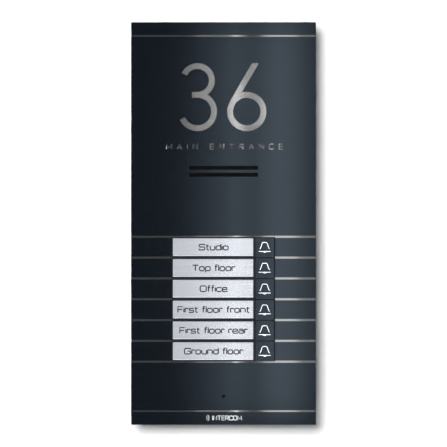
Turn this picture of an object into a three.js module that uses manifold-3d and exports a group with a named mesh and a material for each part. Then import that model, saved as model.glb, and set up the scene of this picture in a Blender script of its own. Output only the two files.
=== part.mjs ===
// Surface-mounted door intercom panel for six households.
//
// A powder-coated steel front plate carries everything: the speaker behind two slots, the module with six
// name plates and six illuminated bell buttons, the microphone and the electronics. It hooks on a rod at the
// top of a flat rear housing, swings up for wiring, and is locked by one screw at its lower edge.
//
// Units are millimetres. The panel is drawn in its own drawing frame: x to the right, y up, z out of the
// wall towards the visitor, with z = 0 on the wall. The outer group turns that frame upright, so that the
// part has +Z up and its front faces -Y.
import * as THREE from "three";
import { mergeVertices } from "three/addons/utils/BufferGeometryUtils.js";
import Module from "manifold-3d";

const wasm = await Module();
wasm.setup();

// ---- Driving dimensions ----------------------------------------------------------------------------------
const PANEL = { w: 135, h: 294, depth: 28, plate: 3 };
const HOUSING = { inset: 5, depth: 23.5, wall: 2, corner: 3 };
const ROWS = 6;
const ROW_PITCH = 15.2;
const FIRST_ROW_LINE = -9.7; // y of the groove above the first name
const GAP = 0.1; // between neighbours that lie on each other
const PRESS_TRAVEL = 1.2; // of a bell button

// Grooves and numerals are engraved through the paint into the steel.
const ENGRAVING = { depth: 0.3, rowLine: 1.5, edgeLine: 1.1, edgeOffset: 10 };
const NUMERAL = { foot: 67.5, top: 117.1, stroke: 4.2, bowlR: 14.3 };

// The module of name plates and buttons fills one window in the front plate.
const WINDOW = { halfW: 37.7, top: -9.85, bottom: -100.75 };
const NAME = { left: -37, right: 21.75, halfH: 6.4, lipHalfH: 7, back: 22.2, lipFront: 23.5, front: 27.75 };
const BUTTON = { x: 30.08, w: 13.75, h: 14.5, flangeHalfW: 8.1 };
const BUTTON_SLOT = { left: 23, right: 37.15 };
const MODULE_FLANGE = { halfW: 44, top: -3, bottom: -107.6, back: 21.9 };
const MODULE_CLEARANCE = 0.15; // between the module's frame and the plate
const LIGHT_GUIDE = { right: 21.5, back: 18.8, front: 21.8, footR: 2 };
const STUD = { r: 1.5, holeR: 1.75, bossR: 2.9, x: 40.8, top: -6.2, bottom: -104.4 };

// Openings for sound
const SPEAKER = { y: 38.2, slotW: 50.3, slotH: 2.85, slotCorner: 0.6, slotPitch: 5.1 };
const MICROPHONE = { y: -126.2, holeR: 1.2 };

// Hinge at the top edge and lock at the bottom edge, both hidden behind the plate's overhang
const HINGE = { y: 144.4, z: 22.4, rodR: 1, earHoleR: 1.15, knuckleHoleR: 1.3, ringR: 2 };
const EAR = { thick: 2, inner: 38, outer: 50 }; // inner and outer are the x where each ear begins
const LOCK = { z: 17, shankR: 1.5, slotHalfW: 1.9 };

// Fixings and cable entry in the housing's back wall
const FIXING = { x: 45, y: 105, w: 5.2, h: 10 };
const CABLE_ENTRY = { y: 100, r: 8 };

// Boards
const BELL_BOARD = { back: 12, front: 13.6 };
const MAIN_BOARD = { halfW: 42, bottom: 74, top: 130, back: 15, front: 16.6 };
const SOLDERED = 0.5; // how deep mounted parts reach into their board
const BOARD_STUDS = [[-37, 125], [37, 79]];
const BOARD_POSTS = [[37, 125], [-37, 79]];
const SPEAKER_PLUG = { x: 27, y: 76 };
const MIC_PLUG = { y: -106 };

const PLATE_BACK = PANEL.depth - PANEL.plate;
const BEYOND = PANEL.depth + 2; // how far cutting tools reach past the plate's face
const HOUSING_HALF_W = PANEL.w / 2 - HOUSING.inset;
const HOUSING_HALF_H = PANEL.h / 2 - HOUSING.inset;
const rowY = (row) => FIRST_ROW_LINE - ROW_PITCH * (row + 0.5);
const rows = [...Array(ROWS).keys()];

// ---- Materials -------------------------------------------------------------------------------------------
const material = (color, roughness, metalness) =>
  new THREE.MeshStandardMaterial({ color, roughness, metalness });
const anthracite = material(0x2f3a43, 0.45, 0.1);
const steel = material(0xb8babd, 0.35, 0.9);
const zinc = material(0xc4c2b8, 0.4, 0.9);
const blackPlastic = material(0x101215, 0.5, 0);
const darkPlastic = material(0x333f48, 0.45, 0);
const silverPlastic = material(0xdcdce6, 0.35, 0.2);
const whitePlastic = material(0xf4f6fa, 0.4, 0);
const clearAcrylic = material(0xe8f0f4, 0.1, 0);
const boardGreen = material(0x1d5a3a, 0.5, 0);
const terminalGreen = material(0x3f8f4f, 0.5, 0);
const rubber = material(0x17181a, 0.85, 0);
const paperCone = material(0x23211f, 0.9, 0);
const ribbonGrey = material(0x9a9c9e, 0.6, 0);

// ---- Solids ----------------------------------------------------------------------------------------------
// A closed three.js geometry as a solid of manifold-3d.
function solidOf(geometry) {
  const bare = geometry.clone();
  bare.deleteAttribute("normal");
  bare.deleteAttribute("uv");
  const merged = mergeVertices(bare, 1e-4);
  return new wasm.Manifold(
    new wasm.Mesh({
      numProp: 3,
      vertProperties: merged.attributes.position.array,
      triVerts: new Uint32Array(merged.index.array),
    }),
  );
}

// A solid of manifold-3d as a three.js geometry.
function geometryOf(solid) {
  const mesh = solid.getMesh();
  const geometry = new THREE.BufferGeometry();
  geometry.setAttribute("position", new THREE.BufferAttribute(new Float32Array(mesh.vertProperties), 3));
  geometry.setIndex(new THREE.BufferAttribute(new Uint32Array(mesh.triVerts), 1));
  geometry.computeVertexNormals();
  return geometry;
}

const union = (...solids) => solids.reduce((a, b) => a.add(b));
const cut = (solid, ...tools) => tools.reduce((a, b) => a.subtract(b), solid);

// An outline in x, y drawn out from z0 to z1.
function prism(shape, z0, z1, curveSegments = 8) {
  const geometry = new THREE.ExtrudeGeometry(shape, { depth: z1 - z0, bevelEnabled: false, curveSegments });
  return solidOf(geometry.translate(0, 0, z0));
}

const box = (x0, x1, y0, y1, z0, z1) =>
  solidOf(
    new THREE.BoxGeometry(x1 - x0, y1 - y0, z1 - z0).translate((x0 + x1) / 2, (y0 + y1) / 2, (z0 + z1) / 2),
  );

function polygon(points) {
  return new THREE.Shape(points.map(([x, y]) => new THREE.Vector2(x, y)));
}

function roundedRectangle(halfW, halfH, r) {
  const shape = new THREE.Shape();
  shape.moveTo(halfW, halfH - r);
  shape.absarc(halfW - r, halfH - r, r, 0, Math.PI / 2, false);
  shape.absarc(-halfW + r, halfH - r, r, Math.PI / 2, Math.PI, false);
  shape.absarc(-halfW + r, -halfH + r, r, Math.PI, 1.5 * Math.PI, false);
  shape.absarc(halfW - r, -halfH + r, r, 1.5 * Math.PI, 2 * Math.PI, false);
  return shape;
}

// A round bar along z.
function bar(x, y, r, z0, z1, sides = 16) {
  const geometry = new THREE.CylinderGeometry(r, r, z1 - z0, sides);
  return solidOf(geometry.rotateX(Math.PI / 2).translate(x, y, (z0 + z1) / 2));
}

// A round bar along x.
function barAlongX(y, z, r, x0, x1, sides = 16) {
  const geometry = new THREE.CylinderGeometry(r, r, x1 - x0, sides);
  return solidOf(geometry.rotateZ(Math.PI / 2).translate((x0 + x1) / 2, y, z));
}

// A round bar along y.
function barAlongY(x, z, r, y0, y1, sides = 16) {
  const geometry = new THREE.CylinderGeometry(r, r, y1 - y0, sides);
  return solidOf(geometry.translate(x, (y0 + y1) / 2, z));
}

// A turned body about an axis along z through x, y. The profile lists [radius, z].
function turned(x, y, profile, sides = 28) {
  const points = profile.map(([r, z]) => new THREE.Vector2(r, z));
  if (THREE.ShapeUtils.area(points) < 0) points.reverse();
  points.push(points[0].clone());
  return solidOf(new THREE.LatheGeometry(points, sides).rotateX(Math.PI / 2).translate(x, y, 0));
}

// A hexagonal nut on a stud at x, y, behind a board whose back is at a given depth.
function hexNut(x, y, boardBack) {
  const acrossCorners = 5.5 / Math.cos(Math.PI / 6);
  const nut = bar(x, y, acrossCorners / 2, boardBack - 2.5, boardBack - GAP, 6);
  return cut(nut, bar(x, y, STUD.r + GAP, 0, BEYOND, 12));
}

// A round lead that passes smoothly through the listed points.
function lead(points, r) {
  const section = new THREE.Shape().absarc(0, 0, r, 0, 2 * Math.PI, false);
  const path = new THREE.CatmullRomCurve3(points.map((point) => new THREE.Vector3(...point)));
  const options = { steps: 4 * points.length, extrudePath: path, curveSegments: 4, bevelEnabled: false };
  return solidOf(new THREE.ExtrudeGeometry(section, options));
}

// ---- The assembly ----------------------------------------------------------------------------------------
const panel = new THREE.Group();
panel.rotation.x = Math.PI / 2;

function place(name, solid, finish) {
  const mesh = new THREE.Mesh(geometryOf(solid), finish);
  mesh.name = name;
  panel.add(mesh);
}

// ---- Front plate -----------------------------------------------------------------------------------------
// The house number's numerals are 50 mm tall and made of round and straight strokes of one width.
// A round stroke about x, y between two angles in degrees, where r is the radius of its outer edge.
function arcStroke(x, y, r, start, end) {
  const [from, to] = [start, end].map(THREE.MathUtils.degToRad);
  const shape = new THREE.Shape();
  shape.absarc(x, y, r, from, to, false);
  shape.absarc(x, y, r - NUMERAL.stroke, to, from, true);
  return shape;
}

// A small bowl on a large one, joined by a short level stroke.
function numeralThree(z0, z1) {
  const { foot, top, stroke, bowlR } = NUMERAL;
  const x = -19;
  const waist = foot + 2 * bowlR - stroke; // lower edge of the level stroke
  const upperR = (top - waist) / 2;
  return union(
    prism(arcStroke(x, foot + bowlR, bowlR, -155, 90), z0, z1, 20),
    prism(arcStroke(x, waist + upperR, upperR, -90, 155), z0, z1, 20),
    box(x - 4, x + 0.5, waist, waist + stroke, z0, z1),
  );
}

// A ring, and a straight stroke that leaves its left side at a tangent.
function numeralSix(z0, z1) {
  const { foot, top, stroke, bowlR } = NUMERAL;
  const x = 17;
  const y = foot + bowlR;
  const slope = THREE.MathUtils.degToRad(60);
  const touching = (r) => [x - r * Math.sin(slope), y + r * Math.cos(slope)];
  const atTop = ([px, py]) => [px + (top - py) / Math.tan(slope), top];
  const outer = touching(bowlR);
  const inner = touching(bowlR - stroke);
  const ring = cut(bar(x, y, bowlR, z0, z1, 64), bar(x, y, bowlR - stroke, z0 - 1, z1 + 1, 64));
  return union(ring, prism(polygon([inner, atTop(inner), atTop(outer), outer]), z0, z1));
}

function engravings() {
  const z0 = PANEL.depth - ENGRAVING.depth;
  const z1 = PANEL.depth + 1;
  const past = PANEL.w / 2 + 1;
  const groove = (y, width) => box(-past, past, y - width / 2, y + width / 2, z0, z1);
  const edgeY = PANEL.h / 2 - ENGRAVING.edgeOffset;
  const lines = [groove(edgeY, ENGRAVING.edgeLine), groove(-edgeY, ENGRAVING.edgeLine)];
  for (let line = 0; line <= ROWS; line++) {
    lines.push(groove(FIRST_ROW_LINE - ROW_PITCH * line, ENGRAVING.rowLine));
  }
  return union(...lines, numeralThree(z0, z1), numeralSix(z0, z1));
}

function frontPlate() {
  const { depth } = PANEL;
  const plate = prism(roundedRectangle(PANEL.w / 2, PANEL.h / 2, 0.6), PLATE_BACK, depth, 2);
  const window = box(-WINDOW.halfW, WINDOW.halfW, WINDOW.bottom, WINDOW.top, PLATE_BACK - 1, depth + 1);
  const slots = [-1, 1].map((side) => {
    const outline = roundedRectangle(SPEAKER.slotW / 2, SPEAKER.slotH / 2, SPEAKER.slotCorner);
    const slot = prism(outline, PLATE_BACK - 1, depth + 1, 3);
    return slot.translate([0, SPEAKER.y + (side * SPEAKER.slotPitch) / 2, 0]);
  });
  const hole = bar(0, MICROPHONE.y, MICROPHONE.holeR, PLATE_BACK - 1, depth + 1);
  const moduleStuds = [STUD.x, -STUD.x].flatMap((x) =>
    [STUD.top, STUD.bottom].map((y) => bar(x, y, STUD.r, 9, PLATE_BACK + 1, 12)));
  const boardStuds = BOARD_STUDS.map(([x, y]) => bar(x, y, STUD.r, 11.5, PLATE_BACK + 1, 12));
  const collars = [...BOARD_STUDS, ...BOARD_POSTS].map(([x, y]) =>
    bar(x, y, 3, MAIN_BOARD.front + GAP, PLATE_BACK + 1, 12));
  return union(cut(plate, window, ...slots, hole, engravings()), ...moduleStuds, ...boardStuds, ...collars);
}
place("front_plate", frontPlate(), anthracite);

// ---- Module of name plates and bell buttons --------------------------------------------------------------
function nameFrame() {
  const c = MODULE_CLEARANCE;
  const body = box(-WINDOW.halfW + c, WINDOW.halfW - c, WINDOW.bottom + c, WINDOW.top - c,
    PLATE_BACK - 1, PANEL.depth - c);
  const flange = box(-MODULE_FLANGE.halfW, MODULE_FLANGE.halfW, MODULE_FLANGE.bottom, MODULE_FLANGE.top,
    MODULE_FLANGE.back, PLATE_BACK - c);
  const studs = [STUD.x, -STUD.x].flatMap((x) => [STUD.top, STUD.bottom].map((y) => [x, y]));
  const bosses = studs.map(([x, y]) =>
    bar(x, y, STUD.bossR, BELL_BOARD.front + GAP, MODULE_FLANGE.back + GAP));
  const holes = studs.map(([x, y]) => bar(x, y, STUD.holeR, 0, BEYOND, 12));
  const pocket = (row, halfH, front) =>
    box(NAME.left - GAP, NAME.right + GAP, rowY(row) - halfH - GAP, rowY(row) + halfH + GAP, 0, front);
  const pockets = rows.flatMap((row) => [
    pocket(row, NAME.halfH, BEYOND),
    pocket(row, NAME.lipHalfH, NAME.lipFront + GAP),
  ]);
  // The button column is open past the front part's ends, so that the outer buttons meet the plate's window.
  const column = union(
    box(BUTTON_SLOT.left, BUTTON_SLOT.right, WINDOW.bottom, WINDOW.top, 0, BEYOND),
    box(BUTTON_SLOT.left, BUTTON_SLOT.right, WINDOW.bottom - 2, WINDOW.top + 2, PLATE_BACK - GAP, BEYOND),
  );
  return cut(union(body, flange, ...bosses), ...holes, ...pockets, column);
}
place("name_frame", nameFrame(), blackPlastic);

// A name plate is a solid block with a lip behind the frame at its upper and lower edge.
for (const row of rows) {
  const y = rowY(row);
  const block = box(NAME.left, NAME.right, y - NAME.halfH, y + NAME.halfH, NAME.back, NAME.front);
  const lip = box(NAME.left, NAME.right, y - NAME.lipHalfH, y + NAME.lipHalfH, NAME.back, NAME.lipFront);
  place(`name_plate_${row + 1}`, union(block, lip), silverPlastic);
}

// A clear sheet behind the name plates, on four feet that stand on the bell board.
function lightGuide() {
  const { right, back, front, footR } = LIGHT_GUIDE;
  const sheet = box(NAME.left, right, WINDOW.bottom + 0.75, WINDOW.top - 0.75, back, front);
  const feet = [NAME.left + 3, right - 3].flatMap((x) =>
    [WINDOW.top - 4, WINDOW.bottom + 4].map((y) =>
      bar(x, y, footR, BELL_BOARD.front + GAP, back + 0.2, 12)));
  return union(sheet, ...feet);
}
place("light_guide", lightGuide(), clearAcrylic);

// The outline of a line of a given width that follows the listed points, with mitred corners and
// square ends.
function band(points, width) {
  const path = points.map(([x, y]) => new THREE.Vector2(x, y));
  const headings = path.slice(1).map((point, i) => point.clone().sub(path[i]).normalize());
  const offsets = path.map((_, i) => {
    const before = headings[Math.max(i - 1, 0)];
    const after = headings[Math.min(i, headings.length - 1)];
    const side = new THREE.Vector2(-before.y - after.y, before.x + after.x).normalize();
    const mitre = -side.x * after.y + side.y * after.x;
    return side.multiplyScalar(width / 2 / mitre);
  });
  const left = path.map((point, i) => point.clone().add(offsets[i]));
  const right = path.map((point, i) => point.clone().sub(offsets[i]));
  return new THREE.Shape([...right, ...left.reverse()]);
}

// The bell symbol about 0, 0: an open dome, and a line with a small clapper under it. Its strokes are
// grown by a given amount on every side.
const SYMBOL_STROKE = 0.75;
const SYMBOL_DOME = [[3.6, -1.3], [2.85, 0.2], [2.25, 2.6], [1.3, 3.5]];
function bellSymbol(grow, z0, z1) {
  const mirrored = SYMBOL_DOME.map(([x, y]) => [-x, y]).reverse();
  const dome = band([...SYMBOL_DOME, ...mirrored], SYMBOL_STROKE + 2 * grow);
  const line = { x: 4.6 + grow, top: -2.65 + grow, bottom: -3.4 - grow };
  const clapper = { x: 1.3 + grow, bottom: -3.95 - grow };
  const base = polygon([
    [-line.x, line.top], [-line.x, line.bottom],
    [-clapper.x, line.bottom], [-clapper.x + 0.5, clapper.bottom],
    [clapper.x - 0.5, clapper.bottom], [clapper.x, line.bottom],
    [line.x, line.bottom], [line.x, line.top],
  ]);
  return [prism(dome, z0, z1), prism(base, z0, z1)];
}

const CAP_FRONT = 27.9;
const CAP_WALL = 1.6;
const CAP_BACK = 20.6;
const CAP_CAVITY = { halfW: 5.6, halfH: 5.7 };
const FLANGE_THICK = 1.1;
const SWITCH = { half: 3.1, body: 3.4, plungerR: 1.75, back: BELL_BOARD.front + GAP, front: 18 };

function buttonCap(y) {
  const { x, w, h } = BUTTON;
  const body = box(x - w / 2, x + w / 2, y - h / 2, y + h / 2, CAP_BACK, CAP_FRONT);
  const flange = box(x - BUTTON.flangeHalfW, x + BUTTON.flangeHalfW, y - h / 2, y + h / 2,
    CAP_BACK, CAP_BACK + FLANGE_THICK);
  const { halfW, halfH } = CAP_CAVITY;
  const cavity = box(x - halfW, x + halfW, y - halfH, y + halfH, CAP_BACK - 1, CAP_FRONT - CAP_WALL);
  const symbol = bellSymbol(GAP / 2, CAP_FRONT - CAP_WALL - 1, CAP_FRONT + 1);
  return cut(union(body, flange), cavity, ...symbol.map((stroke) => stroke.translate([x, y, 0])));
}

// The light-carrying core of a button. Its stem stops just short of the switch when the button is out.
function buttonLens(y) {
  const { x } = BUTTON;
  const halfW = CAP_CAVITY.halfW - GAP;
  const halfH = CAP_CAVITY.halfH - GAP;
  const core = box(x - halfW, x + halfW, y - halfH, y + halfH, CAP_BACK + GAP, CAP_FRONT - CAP_WALL - GAP);
  const stem = bar(x, y, 1.6, SWITCH.front + PRESS_TRAVEL + 2 * GAP, CAP_BACK + 1, 12);
  const symbol = bellSymbol(-GAP / 2, CAP_FRONT - CAP_WALL - 0.5, CAP_FRONT);
  return union(core, stem, ...symbol.map((stroke) => stroke.translate([x, y, 0])));
}

// A coil spring that stands round the switch, between the board and the lens.
class Helix extends THREE.Curve {
  constructor(radius, z0, z1, turns) {
    super();
    Object.assign(this, { radius, z0, z1, turns });
  }
  getPoint(t, target = new THREE.Vector3()) {
    const angle = t * this.turns * 2 * Math.PI;
    const z = this.z0 + (this.z1 - this.z0) * t;
    return target.set(this.radius * Math.cos(angle), this.radius * Math.sin(angle), z);
  }
}

function returnSpring(y) {
  const wireR = 0.3;
  const turns = 3.5;
  const wire = new THREE.Shape().absarc(0, 0, wireR, 0, 2 * Math.PI, false);
  const path = new Helix(4.8, BELL_BOARD.front + GAP + wireR + GAP, CAP_BACK - wireR, turns);
  const options = { steps: turns * 8, extrudePath: path, curveSegments: 3, bevelEnabled: false };
  return solidOf(new THREE.ExtrudeGeometry(wire, options)).translate([BUTTON.x, y, 0]);
}

function tactSwitch(y) {
  const { half, body, plungerR, back, front } = SWITCH;
  return union(
    box(BUTTON.x - half, BUTTON.x + half, y - half, y + half, back, back + body),
    bar(BUTTON.x, y, plungerR, back + body - GAP, front, 12),
  );
}

for (const row of rows) {
  const y = rowY(row);
  place(`bell_button_${row + 1}`, buttonCap(y), darkPlastic);
  place(`bell_lens_${row + 1}`, buttonLens(y), whitePlastic);
  place(`return_spring_${row + 1}`, returnSpring(y), steel);
  place(`tact_switch_${row + 1}`, tactSwitch(y), blackPlastic);
}

// The board that carries the switches, one pair of lamps per name plate and the ribbon's connector.
function bellBoard() {
  const { back, front } = BELL_BOARD;
  const { halfW, bottom, top } = MODULE_FLANGE;
  const sheet = box(-halfW, halfW, bottom, top, back, front);
  const holes = [STUD.x, -STUD.x].flatMap((x) =>
    [STUD.top, STUD.bottom].map((y) => bar(x, y, STUD.holeR, 0, BEYOND, 12)));
  const lamps = rows.flatMap((row) =>
    [-22, 6].map((x) =>
      box(x - 1.75, x + 1.75, rowY(row) - 1.4, rowY(row) + 1.4, front - SOLDERED, front + 1.2)));
  const ribbonConnector = box(-41, -31, -18, -12, back - 5.5, back + SOLDERED);
  const microphoneConnector = box(-4, 4, MIC_PLUG.y, MIC_PLUG.y + 6, back - 4, back + SOLDERED);
  return union(cut(sheet, ...holes), ...lamps, ribbonConnector, microphoneConnector);
}
place("bell_board", bellBoard(), boardGreen);

[[-1, "top"], [1, "top"], [-1, "bottom"], [1, "bottom"]].forEach(([side, end], i) => {
  place(`module_nut_${i + 1}`, hexNut(side * STUD.x, STUD[end], BELL_BOARD.back), zinc);
});

// ---- Speaker ---------------------------------------------------------------------------------------------
place("sound_mesh", bar(0, SPEAKER.y, 25.6, PLATE_BACK - 0.5, PLATE_BACK - GAP, 32), blackPlastic);
place("speaker_gasket",
  turned(0, SPEAKER.y, [[25.8, 22.7], [28.5, 22.7], [28.5, 24.9], [25.8, 24.9]]), rubber);
place("speaker_basket",
  turned(0, SPEAKER.y, [
    [24.8, 21.9], [28.5, 21.9], [28.5, 20.7], [25.4, 20.7], [22, 16.5], [14.5, 14.2],
    [9.5, 14.2], [9.5, 15.2], [14, 15.2], [21, 17.6],
  ]), steel);
place("speaker_cone",
  turned(0, SPEAKER.y, [
    [0, 18.8], [3.5, 18.5], [5.7, 17.6], [5.7, 14.4], [6.3, 14.4], [6.3, 17.3], [21.5, 21.3], [23, 22],
    [28.3, 22], [28.3, 22.6], [22.6, 22.6], [21.2, 22], [6.2, 18.1], [3.5, 19.2], [0, 19.5],
  ]), paperCone);
place("speaker_magnet",
  turned(0, SPEAKER.y, [[0, 7.6], [11.5, 7.6], [12.5, 8.2], [12.5, 14.1], [0, 14.1]]), zinc);

// The lead leaves a tab on the basket's flange and plugs into the main board.
place("speaker_lead",
  lead([
    [19.3, SPEAKER.y + 19.2, 20.3], [20.3, SPEAKER.y + 20.6, 17], [23.5, 67, 13.4],
    [SPEAKER_PLUG.x, SPEAKER_PLUG.y - 3, 13], [SPEAKER_PLUG.x, SPEAKER_PLUG.y - GAP, 13],
  ], 1), blackPlastic);

// ---- Main board ------------------------------------------------------------------------------------------
function mainBoard() {
  const { halfW, bottom, top, back, front } = MAIN_BOARD;
  const sheet = box(-halfW, halfW, bottom, top, back, front);
  const holes = BOARD_STUDS.map(([x, y]) => bar(x, y, STUD.holeR, 0, BEYOND, 12));
  const part = (x0, x1, y0, y1, height) => box(x0, x1, y0, y1, back - height, back + SOLDERED);
  const parts = [
    part(-39, -31, 88, 100, 4), // ribbon connector
    part(-12, 4, 108, 122, 4.5), // audio transformer
    part(-28, -18, 106, 116, 1.6), // processor
    part(12, 24, 110, 119, 2), // amplifier
    part(18, 30, 92, 101, 5), // relay
    part(SPEAKER_PLUG.x - 3.5, SPEAKER_PLUG.x + 3.5, SPEAKER_PLUG.y, SPEAKER_PLUG.y + 5, 4),
    bar(33, 112, 4, back - 6, back + SOLDERED), // reservoir capacitor
  ];
  return union(cut(sheet, ...holes), ...parts);
}
place("main_board", mainBoard(), boardGreen);

BOARD_STUDS.forEach(([x, y], i) => {
  place(`board_nut_${i + 1}`, hexNut(x, y, MAIN_BOARD.back), zinc);
});

// Eight screw terminals, with a wire entry below each and a screw seat behind it.
function terminalBlock() {
  const top = 87;
  const bottom = 77;
  const ways = 8;
  const pitch = 5;
  const halfW = (ways * pitch) / 2;
  const z1 = MAIN_BOARD.back - GAP;
  const z0 = 5.5;
  const body = box(-halfW, halfW, bottom, top, z0, z1);
  const openings = [...Array(ways).keys()].flatMap((way) => {
    const x = -halfW + pitch * (way + 0.5);
    return [
      box(x - 1.7, x + 1.7, bottom - 1, bottom + 3.5, 8.2, 12.2),
      bar(x, 83.5, 1.8, z0 - 1, z0 + 1.5, 12),
    ];
  });
  return cut(body, ...openings);
}
place("terminal_block", terminalBlock(), terminalGreen);

// A flat ribbon that runs down the left side, past the speaker, from the main board to the bell board.
function ribbonCable() {
  const back = 8;
  const thick = 0.9;
  const start = MAIN_BOARD.back - 4 - GAP;
  const end = 5.4;
  const outline = polygon([
    [95, start], [92, back], [-12, end], [-16.5, end],
    [-16.5, end + thick], [-12.2, end + thick], [91.4, back + thick], [94, start],
  ]);
  // The outline is drawn as y, z and turned so that it is drawn out along x.
  return prism(outline, -40, -32).rotate([90, 0, 90]);
}
place("ribbon_cable", ribbonCable(), ribbonGrey);

// ---- Microphone ------------------------------------------------------------------------------------------
place("microphone_boot",
  turned(0, MICROPHONE.y, [
    [1.2, 24.9], [5.2, 24.9], [5.2, 20], [4.6, 18], [3.15, 18], [3.15, 22.5], [1.2, 22.5],
  ], 20), rubber);
place("microphone_capsule",
  union(
    bar(0, MICROPHONE.y, 3, 17.6, 22.3, 20),
    lead([[0, MICROPHONE.y, 18.5], [0, MICROPHONE.y + 0.3, 15], [0, -120, 11], [0, -112, 9.9],
      [0, MIC_PLUG.y - GAP, 9.9]], 0.8),
  ), zinc);

// ---- Seal, hinge and lock on the front -------------------------------------------------------------------
function rimGasket() {
  const width = 4;
  const back = HOUSING.depth + GAP;
  const rim = roundedRectangle(HOUSING_HALF_W, HOUSING_HALF_H, HOUSING.corner);
  const outer = prism(rim, back, PLATE_BACK - GAP, 4);
  const inner = box(-HOUSING_HALF_W + width, HOUSING_HALF_W - width, -HOUSING_HALF_H + width,
    HOUSING_HALF_H - width, 0, BEYOND);
  return cut(outer, inner);
}
place("rim_gasket", rimGasket(), rubber);

for (const [side, name] of [[-1, "left"], [1, "right"]]) {
  const ends = [side * (EAR.inner + EAR.thick + 0.4), side * (EAR.outer - 0.4)].sort((a, b) => a - b);
  const knuckle = union(
    barAlongX(HINGE.y, HINGE.z, HINGE.ringR, ends[0], ends[1]),
    box(ends[0], ends[1], HINGE.y - 1.8, HINGE.y + HINGE.ringR, HINGE.z, PLATE_BACK - GAP),
  );
  const bore = barAlongX(HINGE.y, HINGE.z, HINGE.knuckleHoleR, ends[0] - 1, ends[1] + 1);
  place(`hinge_bracket_${name}`, cut(knuckle, bore), steel);
}

// A folded bracket: one leg lies on the plate's back, the other one carries the lock screw.
const LOCK_BRACKET = { top: -142.6, bottom: -144, footBottom: -146.4, footBack: 23.4, back: 13, halfW: 22 };
function lockBracket() {
  const { top, bottom, footBottom, footBack, back, halfW } = LOCK_BRACKET;
  const leg = box(-halfW, halfW, bottom, top, back, PLATE_BACK - GAP);
  const foot = box(-halfW, halfW, footBottom, top, footBack, PLATE_BACK - GAP);
  return cut(union(leg, foot), barAlongY(0, LOCK.z, LOCK.shankR + 0.2, bottom - 1, top + 1));
}
place("lock_bracket", lockBracket(), steel);

function lockScrew() {
  const headTop = LOCK_BRACKET.bottom - GAP;
  const head = barAlongY(0, LOCK.z, 2.75, headTop - 1.8, headTop, 20);
  const shank = barAlongY(0, LOCK.z, LOCK.shankR, headTop - 0.5, -136.5);
  const socket = barAlongY(0, LOCK.z, 1.15, headTop - 3, headTop - 0.7, 6);
  return cut(union(head, shank), socket);
}
place("lock_screw", lockScrew(), steel);

function lockNut() {
  const half = 2.75;
  const square = box(-half, half, -139.6, -137.2, LOCK.z - half, LOCK.z + half);
  return cut(square, barAlongY(0, LOCK.z, LOCK.shankR + GAP, -141, -136));
}
place("lock_nut", lockNut(), zinc);

// ---- Rear housing ----------------------------------------------------------------------------------------
function rearHousing() {
  const { wall, depth, corner } = HOUSING;
  const shell = cut(
    prism(roundedRectangle(HOUSING_HALF_W, HOUSING_HALF_H, corner), 0, depth, 4),
    prism(roundedRectangle(HOUSING_HALF_W - wall, HOUSING_HALF_H - wall, corner - wall), wall, depth + 1, 2),
  );
  const ears = [EAR.inner, EAR.outer].flatMap((x) => [x, -x - EAR.thick]).map((x0) =>
    union(
      barAlongX(HINGE.y, HINGE.z, HINGE.ringR, x0, x0 + EAR.thick),
      box(x0, x0 + EAR.thick, HOUSING_HALF_H - 1, HINGE.y, HINGE.z - HINGE.ringR, HOUSING.depth),
    ));
  const rodHole = barAlongX(HINGE.y, HINGE.z, HINGE.earHoleR, -60, 60);
  const slot = roundedRectangle(FIXING.w / 2, FIXING.h / 2, FIXING.w / 2 - 0.01);
  const fixings = [-1, 1].flatMap((sx) =>
    [-1, 1].map((sy) => prism(slot, -1, wall + 1, 4).translate([sx * FIXING.x, sy * FIXING.y, 0])));
  const cableHole = bar(0, CABLE_ENTRY.y, CABLE_ENTRY.r, -1, wall + 1, 24);
  const lockSlot = union(
    barAlongY(0, LOCK.z, LOCK.slotHalfW, -143, -139),
    box(-LOCK.slotHalfW, LOCK.slotHalfW, -143, -139, LOCK.z, depth + 1),
  );
  const drains = [-45, 45].map((x) => barAlongY(x, 6, 1.5, -143, -139, 12));
  return cut(union(shell, ...ears), rodHole, ...fixings, cableHole, lockSlot, ...drains);
}
place("rear_housing", rearHousing(), anthracite);

const ROD_END = EAR.outer + EAR.thick;
place("hinge_rod", barAlongX(HINGE.y, HINGE.z, HINGE.rodR, -ROD_END, ROD_END), steel);

place("cable_grommet",
  turned(0, CABLE_ENTRY.y, [
    [4, 0.2], [7.8, 0.2], [7.8, 2.2], [10.5, 2.2], [10.5, 3.6], [6.4, 3.6], [5, 8], [4, 8],
  ], 24), rubber);

export default panel;
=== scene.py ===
"""The looks of a door intercom panel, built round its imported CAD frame.

Pieces are drawn in millimetres in the panel's drawing frame: x to the right, y up, z out of the wall.
PANEL turns a drawn piece into the row frame, in metres, with +Z up and the front facing -Y.
"""
import math

import bmesh
import bpy
from mathutils import Matrix, Vector


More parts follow.
